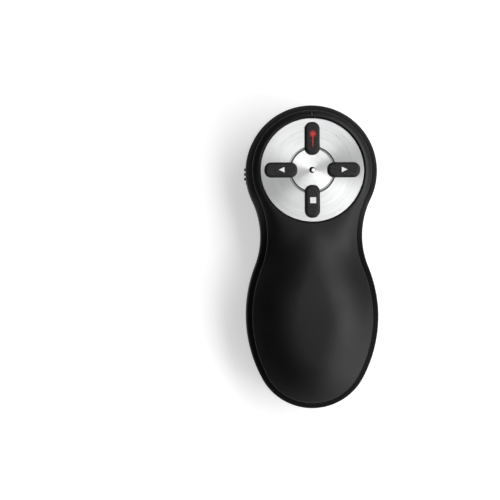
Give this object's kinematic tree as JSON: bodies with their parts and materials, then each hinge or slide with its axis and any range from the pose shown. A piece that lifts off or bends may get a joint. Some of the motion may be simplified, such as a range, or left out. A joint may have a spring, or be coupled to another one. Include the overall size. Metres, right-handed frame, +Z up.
{
  "type": "wireless presentation clicker",
  "caption": "Hourglass-shaped hand-held presentation clicker: black shell, round silver plate with a cross of keys, side power slider, stored USB receiver.",
  "frame": {"origin": "bottom centre of the bounding box, on the flat underside", "axes": "+Y from the tail to the laser window, +Z up from the desk to the keys, +X to the right"},
  "size_m": [0.0471, 0.107, 0.0268],
  "materials": {
    "cover_black": "soft-touch matte black",
    "casing_black": "fine-textured satin black",
    "key_rubber": "fine-pebbled black rubber coat",
    "spun_aluminium": "spun, light grey",
    "polished_steel": "polished",
    "adhesive_film": "thin film",
    "switch_plastic": "moulded black",
    "plunger_plastic": "moulded ivory",
    "board_green": "solder-masked board",
    "chip_black": "moulded package",
    "can_steel": "plain",
    "copper_track": "gold-plated copper",
    "ceramic_tan": "sintered body",
    "led_lens": "tinted epoxy",
    "pipe_clear": "clear light pipe",
    "barrel_brass": "turned",
    "lens_glass": "coated lens",
    "lead_red": "insulated wire",
    "clamp_steel": "pressed steel",
    "screw_steel": "blackened steel",
    "window_glass": "dark red window",
    "cell_wrap": "plain dark grey wrap",
    "contact_nickel": "nickel-plated spring steel",
    "plug_steel": "nickel-plated shell",
    "tongue_plastic": "white insulator",
    "contact_gold": "gold flash",
    "print_white": "pad-printed white ink",
    "print_red": "pad-printed red ink"
  },
  "bodies": {
    "casing": {"top_cover": "cover_black", "rim_frame": "casing_black", "bottom_shell": "casing_black", "button_disc": "spun_aluminium", "disc_adhesive": "adhesive_film", "center_stud": "polished_steel", "tact_switches": "switch_plastic", "main_board": "board_green", "controller_chip": "chip_black", "radio_chip": "chip_black", "crystal": "can_steel", "antenna": "copper_track", "board_parts": "ceramic_tan", "status_led": "led_lens", "light_pipe": "pipe_clear", "laser_barrel": "barrel_brass", "laser_lens": "lens_glass", "laser_diode": "can_steel", "laser_driver_board": "board_green", "laser_leads": "lead_red", "laser_clamp": "clamp_steel", "clamp_screws": "screw_steel", "laser_window": "window_glass", "slide_switch_body": "can_steel", "left_battery": "cell_wrap", "right_battery": "cell_wrap", "positive_plate": "contact_nickel", "negative_plate": "contact_nickel", "negative_spring": "contact_nickel", "bridge_plate": "contact_nickel", "bridge_spring": "contact_nickel", "case_screws": "screw_steel", "receiver_detent": "contact_nickel"},
    "laser_key": {"laser_button": "key_rubber", "laser_plunger": "plunger_plastic"},
    "previous_key": {"previous_button": "key_rubber", "previous_plunger": "plunger_plastic"},
    "next_key": {"next_button": "key_rubber", "next_plunger": "plunger_plastic"},
    "blank_key": {"blank_button": "key_rubber", "blank_plunger": "plunger_plastic"},
    "slider": {"power_knob": "casing_black", "slide_switch_lever": "switch_plastic"},
    "door": {"battery_door": "casing_black"},
    "receiver": {"receiver_cap": "casing_black", "usb_shell": "plug_steel", "usb_tongue": "tongue_plastic", "usb_contacts": "contact_gold", "receiver_board": "board_green"}
  },
  "joints": [
    {"name": "laser_press", "type": "slide", "parent": "casing", "child": "laser_key", "axis": [0, 0, -1], "range_m": [0, 0.0005], "stiffness_N_per_m": 1500, "springref_m": -0.0004},
    {"name": "previous_press", "type": "slide", "parent": "casing", "child": "previous_key", "axis": [0, 0, -1], "range_m": [0, 0.0005], "stiffness_N_per_m": 1500, "springref_m": -0.0004},
    {"name": "next_press", "type": "slide", "parent": "casing", "child": "next_key", "axis": [0, 0, -1], "range_m": [0, 0.0005], "stiffness_N_per_m": 1500, "springref_m": -0.0004},
    {"name": "blank_press", "type": "slide", "parent": "casing", "child": "blank_key", "axis": [0, 0, -1], "range_m": [0, 0.0005], "stiffness_N_per_m": 1500, "springref_m": -0.0004},
    {"name": "power_slide", "type": "slide", "parent": "casing", "child": "slider", "axis": [0, -1, 0], "range_m": [0, 0.002]},
    {"name": "door_hinge", "type": "hinge", "parent": "casing", "child": "door", "pos_m": [0, -0.0348, 0.0008], "axis": [-1, 0, 0], "range_deg": [0, 95]},
    {"name": "receiver_slide", "type": "slide", "parent": "casing", "child": "receiver", "axis": [0, -1, 0], "range_m": [0, 0.025]}
  ]
}
